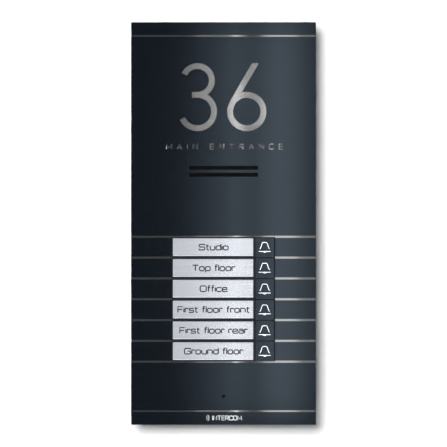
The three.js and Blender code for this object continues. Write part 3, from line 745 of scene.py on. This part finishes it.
def bell_button(row):
    """A hollow cap with the bell symbol cut through its face, and a flange that keeps it in the frame."""
    number = row + 1
    body = f"button_{number}"
    cap = Drawn(f"bell_button_{number}")
    step = cap.z1 - CAP_WALL
    face = centred(cap.x, cap.y, CAP["w"], cap.y1 - cap.y0 + CAP["taller"], 0.5, 5)
    cavity = centred(cap.x, cap.y, CAVITY["w"], CAVITY["h"], 0.3, 3)
    flange = rectangle(cap.x0, cap.x1, cap.y0, cap.y1, 0.4, 3)
    front = prism([face, *bell_outlines(cap.x, cap.y, 0.04)], step, cap.z1, 0.22, 3)
    wall = prism([face, cavity], cap.z0, step + 0.25, 0.02)
    rim = prism([flange, cavity], cap.z0, cap.z0 + 1.1, 0.15)
    shell = [painted(mesh, BUTTON) for mesh in (front, wall, rim)]
    piece(f"bell_button_{number}_cap", body, "button_plastic", shell, f"bell_button_{number}")


def bell_lens(row):
    """The light-carrying core in a cap, whose front ends fill the symbol."""
    number = row + 1
    cap, core = Drawn(f"bell_button_{number}"), Drawn(f"bell_lens_{number}")
    step = cap.z1 - CAP_WALL
    symbol = [prism([outline], step - 1, cap.z1 - 0.05, 0.08, 2) for outline in bell_outlines(cap.x, cap.y)]
    inner = block(core.x0, core.x1, core.y0, core.y1, cap.z0 + 0.1, step - 0.1, 0.3, 0.3)
    top = cap.z0 + 1
    profile = [(0, core.z0), (1.3, core.z0), (1.6, core.z0 + 0.3), (1.6, top), (0, top)]
    stem = turned(core.x, core.y, profile)
    light = [painted(mesh, OPAL) for mesh in (*symbol, inner, stem)]
    piece(f"bell_lens_{number}_core", f"button_{number}", "white_diffuser", light, f"bell_lens_{number}")


def return_spring(row):
    """A coil with closed ends, pressed together as the button goes in."""
    number = row + 1
    node = f"return_spring_{number}"
    coil, core = Drawn(node), Drawn(f"bell_lens_{number}")
    wire, radius, turns, closed, steps = 0.3, 4.8, 5.5, 0.9, 16
    low, high = coil.z0 + wire, coil.z1 - wire
    climb = high - low - 2 * wire
    points = []
    for i in range(int(turns * steps) + 1):
        turn = i / steps
        end_turns = min(turn, closed) + max(turn - turns + closed, 0)
        open_turns = min(max(turn - closed, 0), turns - 2 * closed)
        z = low + wire * end_turns / closed + climb * open_turns / (turns - 2 * closed)
        angle = 2 * math.pi * turn
        points.append((core.x + radius * math.cos(angle), core.y + radius * math.sin(angle), z))
    spring = single(node, "coil", "spring_steel", SPRING_STEEL, tube(points, wire, 2))
    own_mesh(spring)


def tact_switch(row):
    """A switch with a tinned cover, the four rivets that hold it, and a round plunger."""
    node = f"tact_switch_{row + 1}"
    body = Drawn(node)
    side, rivet_place = 6, 2.3
    deck = body.z0 + 3
    low, high = body.z0 + 2.5, body.z1
    base = painted(block_at(body.x, body.y, side, side, body.z0, deck, 0.15), BLACK)
    outline = centred(body.x, body.y, side - 0.2, side - 0.2, 0.2, 2)
    cover = painted(prism([outline, circle(body.x, body.y, 1.95, 32)], deck, deck + 0.4, 0.08), TIN)
    profile = [(0, low), (1.75, low), (1.75, high - 0.2), (1.55, high), (0, high)]
    plunger = painted(turned(body.x, body.y, profile, 40), BLACK)
    head = [(0, deck + 0.3), (0.4, deck + 0.3), (0.25, deck + 0.55), (0, deck + 0.6)]
    rivets = [
        painted(turned(body.x + sx * rivet_place, body.y + sy * rivet_place, head, 16), BLACK)
        for sx in (-1, 1) for sy in (-1, 1)
    ]
    piece(f"{node}_body", "front", "black_plastic", [base, cover, plunger, *rivets], node)


for row in range(ROWS):
    bell_button(row)
    bell_lens(row)
    return_spring(row)
    tact_switch(row)


# ---- Boards ----
def solder_joint(x, y, z, r=0.55, side=-1):
    """A cone of solder on the board's back, or with side 1 on its front."""
    profile = [(0, z), (r, z), (r * 0.45, z + side * 0.35), (0.12, z + side * 0.6), (0, z + side * 0.6)]
    return painted(turned(x, y, profile, 12), TIN)


def chip(x, y, w, h, z, height, pins):
    """A packaged circuit on the board's back, with gull-wing pins along its upper and lower sides."""
    meshes = [painted(block_at(x, y, w, h, z - height, z - 0.1, 0.1), BLACK)]
    for i in range(pins):
        px = x - w / 2 + w * (i + 0.5) / pins
        for side in (-1, 1):
            edge = y + side * h / 2
            path = [(px, edge - side * 0.2, z - height / 2), (px, edge + side * 0.3, z - height / 2),
                    (px, edge + side * 0.5, z - 0.1), (px, edge + side * 0.9, z - 0.1)]
            meshes.append(painted(tube(path, 0.11, 1, smooth=False), TIN))
    return meshes


def small_part(x, y, z, upright=False, side=-1):
    """A chip resistor or capacitor with tinned ends."""
    w, h = (0.5, 1.0) if upright else (1.0, 0.5)
    low, high = sorted((z, z + side * 0.45))
    body = painted(block_at(x, y, 1.2 * w, 1.2 * h, low, high, 0.04), BLACK)
    ends = []
    for end in (-1, 1):
        ex, ey = (x, y + end * h) if upright else (x + end * w, y)
        ew, eh = (0.62, 0.56) if upright else (0.56, 0.62)
        ends.append(painted(block_at(ex, ey, ew, eh, low, high, 0.04), TIN))
    return [body, *ends]


def box_header(x0, x1, y0, y1, z0, z1, pins):
    """A plug housing with its contacts on the side that faces back."""
    wall = 0.9
    inside = rectangle(x0 + wall, x1 - wall, y0 + wall, y1 - wall, 0.2)
    shell = prism([rectangle(x0, x1, y0, y1, 0.3), inside], z0, z1, 0.1)
    floor = block(x0 + 0.5, x1 - 0.5, y0 + 0.5, y1 - 0.5, z0 + 1.2, z1, 0.05)
    meshes = [painted(shell, IVORY), painted(floor, IVORY)]
    for i in range(pins):
        part = (i + 0.5) / pins
        px, py = (x0 + x1) / 2, (y0 + y1) / 2
        if x1 - x0 > y1 - y0:
            px = x0 + 1 + (x1 - x0 - 2) * part
        else:
            py = y0 + 1 + (y1 - y0 - 2) * part
        meshes.append(painted(block_at(px, py, 0.6, 0.6, z0 + 0.3, z0 + 1.6, 0.08), GOLD))
    return meshes


def hex_nut(node):
    nut = Drawn(node)
    corner = (nut.x1 - nut.x0) / 2 / math.cos(math.pi / 6)
    turns = [math.radians(a) for a in range(30, 390, 60)]
    flats = [(nut.x + corner * math.cos(a), nut.y + corner * math.sin(a)) for a in turns]
    mesh = prism([flats, circle(nut.x, nut.y, 1.62, 32)], nut.z0, nut.z1, 0.25, 2)
    single(node, "turned", "zinc", ZINC, mesh)


def board_sheet(node, back, front, studs):
    box = Drawn(node)
    holes = [circle(x, y, 1.75, 32) for x, y in studs]
    return prism([rectangle(box.x0, box.x1, box.y0, box.y1, 1.5), *holes], back, front, 0.08)


def main_board():
    """The board behind the speaker, with its parts on the side that faces back."""
    back, front = 15.0, 16.6
    sheet = board_sheet("main_board", back, front, BOARD_STUDS)
    ribbon_plug, speaker_plug = (-39, -31, 88, 100), (23.5, 30.5, 76, 81)
    core, winding, relay = (-12, 4, 108, 122), (-9.5, 1.5, 109.5, 120.5), (18, 30, 92, 101)
    processor, amplifier = (-23, 111, 9, 8), (18, 114.5, 10, 7)
    meshes = [painted(sheet, GREEN_MASK)]
    meshes += box_header(*ribbon_plug, back - 4, back, 10)
    meshes += box_header(*speaker_plug, back - 4, back, 3)
    meshes.append(painted(block(*core, back - 3.6, back - 0.6, 0.2, 0.6), PLAIN_STEEL))
    meshes.append(painted(block(*winding, back - 4.5, back, 0.5, 1.5), IVORY))
    meshes += chip(*processor, back, 1.6, 12)
    meshes += chip(*amplifier, back, 2, 10)
    meshes.append(painted(block(*relay, back - 5, back, 0.4, 0.5), RELAY_BLUE))
    can = [(0, back - 6), (2.8, back - 6), (3.7, back - 5.8), (4, back - 5.4), (4, back - 1),
           (3.75, back - 0.8), (4, back - 0.5), (4, back), (0, back)]
    meshes.append(painted(turned(33, 112, can, 48), TIN))
    for i in range(10):
        for j in range(3):
            x = -26 + 5.2 * i + (1.3 if j % 2 else 0)
            meshes += small_part(x, 103.5 - 2.6 * j, back, (i + j) % 3 == 0)
    for i in range(8):
        x = -17.5 + 5 * i
        meshes.append(solder_joint(x, 89.5, back, 0.9))
        meshes.append(solder_joint(x, 82, front, 0.8, 1))
    piece("main_board_assembly", "front", "circuit_board", meshes, "main_board")


def bell_board():
    """The board behind the buttons, with two lamps for each name plate on its front."""
    back, front = 12.0, 13.6
    sheet = board_sheet("bell_board", back, front, STUDS)
    ribbon_plug, microphone_plug = (-41, -31, -18, -12), (-4, 4, -106, -100)
    meshes = [painted(sheet, BLACK_MASK)]
    meshes += box_header(*ribbon_plug, back - 5.5, back, 10)
    meshes += box_header(*microphone_plug, back - 4, back, 4)
    for row in range(ROWS):
        y = Drawn(f"name_plate_{row + 1}").y
        for x in (-22, 6):
            meshes.append(painted(block_at(x, y, 3.5, 2.8, front, front + 1.2, 0.2, 0.2), IVORY))
            glow = [(0, front + 0.9), (1.05, front + 0.9), (1.05, front + 1.15), (0, front + 1.18)]
            meshes.append(painted(turned(x, y, glow, 32), LAMP))
            meshes += small_part(x + 4.4, y + 0.6, front, side=1)
            meshes += small_part(x - 4.4, y - 0.6, back)
        switch = Drawn(f"tact_switch_{row + 1}")
        for sx in (-1, 1):
            for sy in (-1, 1):
                meshes.append(solder_joint(switch.x + sx * 3.25, switch.y + sy * 2.25, back))
        meshes += small_part(18, y, back, True)
    meshes += chip(-12, -58, 10, 8, back, 1.6, 14)
    meshes += chip(8, -78, 6, 5, back, 1.2, 4)
    piece("bell_board_assembly", "front", "circuit_board", meshes, "bell_board")


def terminal_block():
    """Eight ways, each with a wire entry below and a slotted screw in a well behind."""
    box = Drawn("terminal_block")
    ways = 8
    pitch = (box.x1 - box.x0) / ways
    body = painted(cad_copy("terminal_block", 0.12), TERMINAL)
    screws = []
    for way in range(ways):
        x = box.x0 + pitch * (way + 0.5)
        z = box.z0 + 0.5
        head = turned(x, 83.5, [(0, z), (1.3, z), (1.6, z + 0.25), (1.6, z + 0.95), (0, z + 0.95)], 32)
        slit = block(x - 2, x + 2, 83.25, 83.75, z - 1, z + 0.45, 0)
        screws.append(painted(combined(head, slit), ZINC))
        screws.append(painted(block(x - 1.5, x + 1.5, 78.6, 79, 8.4, 12, 0.08), TIN))
    piece("terminal_block_moulding", "front", "terminal_plastic", [body, *screws], "terminal_block")


def ribbon_cable():
    """Ten round cores side by side, the first one marked, along the CAD's route."""
    box = Drawn("ribbon_cable")
    cores = 10
    pitch = (box.x1 - box.x0) / cores
    back = box.z0
    route = [(94.4, box.z1 - 0.5), (94, box.z1 - 0.9), (91.8, 8.5), (88, 8.3), (40, 7),
             (-12, back + 0.5), (-16, back + 0.45)]
    meshes = []
    for core in range(cores):
        x = box.x0 + pitch * (core + 0.5)
        wire = tube([(x, y, z) for y, z in route], pitch / 2 + 0.01, 2)
        meshes.append(painted(wire, RED_WIRE if core == 0 else GREY_WIRE))
    piece("ribbon_cable_cores", "front", "cable_jacket", meshes, "ribbon_cable")


main_board()
bell_board()
terminal_block()
ribbon_cable()
for nut in [f"module_nut_{i}" for i in (1, 2, 3, 4)] + ["board_nut_1", "board_nut_2"]:
    hex_nut(nut)
carried_over("light_guide", "plate", "clear_acrylic", ACRYLIC, 0.15)


# ---- Speaker and microphone ----
def speaker_basket():
    """A dished steel ring with six vents in its slope."""
    vents, vent_radius, y = 6, 17.2, SPEAKER.y
    profile = rounded([
        (24.8, 21.9), (28.5, 21.9), (28.5, 20.7), (25.4, 20.7), (22, 16.5), (14.5, 14.2), (9.5, 14.2),
        (9.5, 15.2), (14, 15.2), (21, 17.6),
    ], 0.35, steps=3)
    basket = painted(turned(0, y, profile, 96), PLAIN_STEEL)
    tools = [painted(prism([centred(0, 0, 6, 3, 1.5, 10)], 12, 17, 0), PLAIN_STEEL) for _ in range(vents)]
    for i, tool in enumerate(tools):
        turn = Matrix.Rotation(i * 2 * math.pi / vents, 4, "Z")
        tool.transform(Matrix.Translation((0, y, 0)) @ turn @ Matrix.Translation((0, vent_radius, 0)))
    single("speaker_basket", "pressing", "steel", PLAIN_STEEL, combined(basket, joined(tools)))


def speaker_cone():
    """A paper cone with a pleated surround and a voice coil's sleeve behind."""
    surround = [(22.9 + i * 0.3, 22.15 + (0.35 if i % 4 in (1, 2) else 0)) for i in range(13)]
    profile = [
        (0, 18.8), (3.5, 18.5), (5.7, 17.6), (5.7, 14.4), (6.3, 14.4), (6.3, 17.3), (21.5, 21.3), (23, 22),
        (28.3, 22), (28.3, 22.6), (27.4, 22.6), *surround[::-1], (21.2, 22), (6.2, 18.1), (5, 18.7),
        (3, 19.3), (0, 19.5),
    ]
    single("speaker_cone", "pulp", "cone_paper", PULP, turned(0, SPEAKER.y, profile, 96))


def speaker_magnet():
    profile = rounded([
        (0, 7.6), (11, 7.6), (11, 8.6), (12.5, 8.6), (12.5, 13), (11.6, 13), (11.6, 14.1), (0, 14.1),
    ], 0.3, steps=3)
    single("speaker_magnet", "pot", "zinc", ZINC, turned(0, SPEAKER.y, profile, 96))


def speaker_gasket():
    profile = rounded([(25.8, 22.7), (28.5, 22.7), (28.5, 24.9), (25.8, 24.9)], 0.3, steps=3)
    single("speaker_gasket", "foam", "black_rubber", FOAM, turned(0, SPEAKER.y, profile, 96))


def sound_mesh():
    """A thin disc behind the slots, perforated in staggered rows."""
    box = Drawn("sound_mesh")
    pitch = 1.5
    holes = []
    for i in range(-5, 6):
        for j in range(-15, 16):
            x = pitch * (j + (i % 2) / 2)
            holes.append(circle(x, box.y + pitch * i * math.sqrt(3) / 2, 0.45, 8))
    disc = prism([circle(0, box.y, (box.x1 - box.x0) / 2, 96), *holes], box.z0, box.z1, 0)
    # The disc's near-black colour is partly its own black and partly painted shade of the slots.
    single("sound_mesh", "disc", "black_plastic", BLACK_CLOTH_AND_SLOT_SHADE, disc)


def pair_of_wires(node, route, slot_name, *others):
    """A red and a black wire along a route, side by side in x, with the meshes that belong to them."""
    apart, radius = 0.42, 0.4
    wires = []
    for side, material in ((-1, RED_WIRE), (1, RUBBER)):
        wires.append(painted(tube([(x + side * apart, y, z) for x, y, z in route], radius, 3), material))
    piece(f"{node}_wires", "front", slot_name, [*wires, *others], node)


def microphone_boot():
    profile = rounded([
        (1.2, 24.9), (5.2, 24.9), (5.2, 20), (4.6, 18), (3.15, 18), (3.15, 22.5), (1.2, 22.5),
    ], 0.3, steps=3)
    single("microphone_boot", "rubber", "black_rubber", RUBBER, turned(0, MICROPHONE.y, profile, 64))


def microphone_capsule():
    """A tin can with a felt disc over its inlet, and its two wires."""
    y = MICROPHONE.y
    can = [
        (0, 17.7), (2.6, 17.7), (2.6, 17.6), (2.9, 17.6), (3, 17.9), (3, 22.1), (2.85, 22.3), (0.4, 22.3),
        (0.4, 22.2), (0, 22.2),
    ]
    capsule = painted(turned(0, y, can, 48), TIN)
    disc = [(0, 22.1), (2.5, 22.1), (2.5, 22.4), (2.3, 22.45), (0, 22.45)]
    felt = painted(turned(0, y, disc, 32), FOAM)
    route = [(0, y, 17.8), (0, y + 0.3, 15), (0, -120, 11), (0, -112, 9.9), (0, -106.1, 9.9)]
    pair_of_wires("microphone_capsule", route, "zinc", capsule, felt)


def speaker_lead():
    y = SPEAKER.y
    route = [(19.3, y + 19.2, 20.2), (20.3, y + 20.6, 17), (23.5, 67, 13.4), (27, 73, 13), (27, 75.9, 13)]
    pair_of_wires("speaker_lead", route, "black_rubber")


speaker_basket()
speaker_cone()
speaker_magnet()
speaker_gasket()
sound_mesh()
microphone_boot()
microphone_capsule()
speaker_lead()


# ---- Seal, hinge and lock ----
carried_over("rim_gasket", "foam", "black_rubber", FOAM, 0.2)
carried_over("hinge_bracket_left", "pressing", "steel", PLAIN_STEEL, 0.12)
carried_over("hinge_bracket_right", "pressing", "steel", PLAIN_STEEL, 0.12)
carried_over("lock_bracket", "pressing", "steel", PLAIN_STEEL, 0.15)
carried_over("lock_nut", "square", "zinc", ZINC, 0.15)


def lock_screw():
    """A hexagon socket screw, drawn along z and turned to stand along y."""
    box = Drawn("lock_screw")
    head, length = 1.8, box.y1 - box.y0
    profile = [(0, 0), (2.4, 0), (2.75, 0.35), (2.75, head), (1.5, head), (1.5, head + 0.2),
               (0, head + 0.2)]
    top = turned(0, 0, profile, 48)
    socket = prism([circle(0, 0, 1.3, 6)], -1, 1.3, 0)
    parts = (combined(top, socket), threaded(0, 0, head + 0.1, length))
    screw = joined([painted(part, PLAIN_STEEL) for part in parts])
    screw.transform(Matrix.Translation((box.x, box.y0, box.z)) @ Matrix.Rotation(-math.pi / 2, 4, "X"))
    single("lock_screw", "turned", "steel", PLAIN_STEEL, screw)


lock_screw()


# ---- Rear housing ----
def hinge_rod():
    box = Drawn("hinge_rod")
    r = (box.y1 - box.y0) / 2
    length = box.x1 - box.x0
    profile = [(0, 0), (r - 0.2, 0), (r, 0.2), (r, length - 0.2), (r - 0.2, length), (0, length)]
    rod = turned(0, 0, profile, 32)
    rod.transform(Matrix.Translation((box.x0, box.y, box.z)) @ Matrix.Rotation(math.pi / 2, 4, "Y"))
    single("hinge_rod", "ground", "steel", STEEL, rod, "housing")


def cable_grommet():
    box = Drawn("cable_grommet")
    profile = rounded([
        (4, 0.2), (7.8, 0.2), (7.8, 2.2), (10.5, 2.2), (10.5, 3.6), (6.4, 3.6), (5, 8), (4, 8),
    ], 0.3, steps=3)
    ring = turned(box.x, box.y, profile, 72)
    single("cable_grommet", "rubber", "black_rubber", RUBBER, ring, "housing")


carried_over("rear_housing", "shell", "powder_coated_housing", HOUSING_COAT, 0.2, "housing")
hinge_rod()
cable_grommet()


# ---- Stage ----
def mixed(tree, factor, first, second):
    mix = node_of(tree, "MixShader", Fac=factor)
    tree.links.new(first.outputs[0], mix.inputs[1])
    tree.links.new(second.outputs[0], mix.inputs[2])
    return mix


def bare_material(name):
    """A material without nodes, and its node tree."""
    material = bpy.data.materials.new(name)
    material.use_nodes = True
    material.node_tree.nodes.clear()
    return material, material.node_tree


def one_sided(name, colour, glow=0.0):
    """A matt paint that is seen from its front only, so that the panel can be looked at from behind."""
    material, tree = bare_material(name)
    paint = node_of(tree, "BsdfDiffuse", Color=colour)
    shine = node_of(tree, "Emission", Strength=glow)
    front = node_of(tree, "AddShader")
    tree.links.new(paint.outputs[0], front.inputs[0])
    tree.links.new(shine.outputs[0], front.inputs[1])
    side = node_of(tree, "NewGeometry").outputs["Backfacing"]
    mix = mixed(tree, side, front, node_of(tree, "BsdfTransparent"))
    node_of(tree, "OutputMaterial", Surface=mix.outputs[0])
    return material


def sheet(name, corners, material):
    mesh = bpy.data.meshes.new(name)
    mesh.from_pydata(corners, [], [(0, 1, 2, 3)])
    obj = placed(name, painted(mesh, material))
    return obj


ROOM = 4.0
FLOOR = -1.2
BEHIND = 0.0004  # the wall stands this far behind the housing's back
corners = [(-ROOM, BEHIND, FLOOR), (ROOM, BEHIND, FLOOR), (ROOM, BEHIND, ROOM), (-ROOM, BEHIND, ROOM)]
wall = sheet("wall", corners, one_sided("pale_paint", (0.9, 0.9, 0.9, 1)))
wall.visible_shadow = False  # the lights on each side of it reach the other side
corners = [(-ROOM, -ROOM, FLOOR), (ROOM, -ROOM, FLOOR), (ROOM, ROOM, FLOOR), (-ROOM, ROOM, FLOOR)]
floor = sheet("floor", corners, one_sided("pale_floor", (0.9, 0.9, 0.9, 1), 0.55))
floor.visible_diffuse = False  # its glow stays off the wall, where it would wash out the panel's shadow


def area_light(name, place, width, height, power, glossy=True):
    """A rectangular light that points at the panel's middle."""
    light = bpy.data.lights.new(name, "AREA")
    light.shape = "RECTANGLE"
    light.size, light.size_y = width, height
    light.energy = power
    obj = placed(name, light)
    obj.location = place
    obj.rotation_euler = (-Vector(place)).to_track_quat("-Z", "Y").to_euler()
    obj.visible_camera = False
    obj.visible_glossy = glossy
    light.cycles.use_multiple_importance_sampling = glossy


def strip_light(name, x, width, radiance, distance=0.5, height=0.375):
    """An upright strip in front of the panel, whose reflection stands at x on the panel's face.

    It is a glowing sheet that only glossy rays find, which keeps the satin surfaces free of specks.
    """
    material, tree = bare_material(name)
    material.cycles.emission_sampling = "NONE"
    glow = node_of(tree, "Emission", Strength=radiance)
    node_of(tree, "OutputMaterial", Surface=glow.outputs[0])
    bounce = 1 + distance / CAMERA_DISTANCE
    middle = 0.006
    x0, x1 = x * bounce - width / 2, x * bounce + width / 2
    z0, z1 = middle - height / 2, middle + height / 2
    y = -distance
    strip = sheet(name, [(x0, y, z0), (x0, y, z1), (x1, y, z1), (x1, y, z0)], material)
    strip.visible_camera = False
    strip.visible_diffuse = False
    strip.visible_shadow = False


FRAME_SIZE = 0.3264  # the picture's side at the panel's face
LENS, SENSOR = 200, 36
CAMERA_DISTANCE = FRAME_SIZE * LENS / SENSOR


def camera():
    data = bpy.data.cameras.new("camera")
    data.lens, data.sensor_width = LENS, SENSOR
    obj = placed("camera", data)
    obj.location = (0, -PLATE.z1 / 1000 - CAMERA_DISTANCE, 0)
    obj.rotation_euler = (math.pi / 2, 0, 0)
    bpy.context.scene.camera = obj


def lights():
    area_light("key", (-0.24, -1.5, 0.25), 0.54, 0.54, 32, glossy=False)
    for side in (-1, 1):
        area_light(f"softbox_{side}", (side * 1.2, -1.2, 0.2), 1.2, 1.5, 3.2)
    area_light("bounce", (-0.35, -0.9, -1.1), 1.6, 1.6, 5.4, glossy=False)
    strip_light("faint_strip", -0.002, 0.046, 0.26)
    strip_light("narrow_strip", 0.009, 0.0028, 3.4, 0.48)
    strip_light("wide_strip", 0.041, 0.032, 0.95)
    strip_light("edge_strip", 0.062, 0.021, 0.27, 0.49)
    area_light("back_left", (-0.5, 1.3, 0.7), 0.8, 0.8, 16)
    area_light("back_right", (0.6, 1.3, 0.3), 0.8, 0.8, 9)


def room():
    """A dim world that looks pale to the camera."""
    world = bpy.data.worlds.new("room")
    world.use_nodes = True
    tree = world.node_tree
    glow = tree.nodes["Background"]
    glow.inputs["Color"].default_value = (0.015, 0.015, 0.0155, 1)
    seen = node_of(tree, "Background", Color=(0.85, 0.86, 0.87, 1))
    mix = mixed(tree, node_of(tree, "LightPath").outputs["Is Camera Ray"], glow, seen)
    tree.links.new(mix.outputs[0], tree.nodes["World Output"].inputs["Surface"])
    bpy.context.scene.world = world


camera()
lights()
room()
bpy.context.scene.view_settings.view_transform = "Standard"
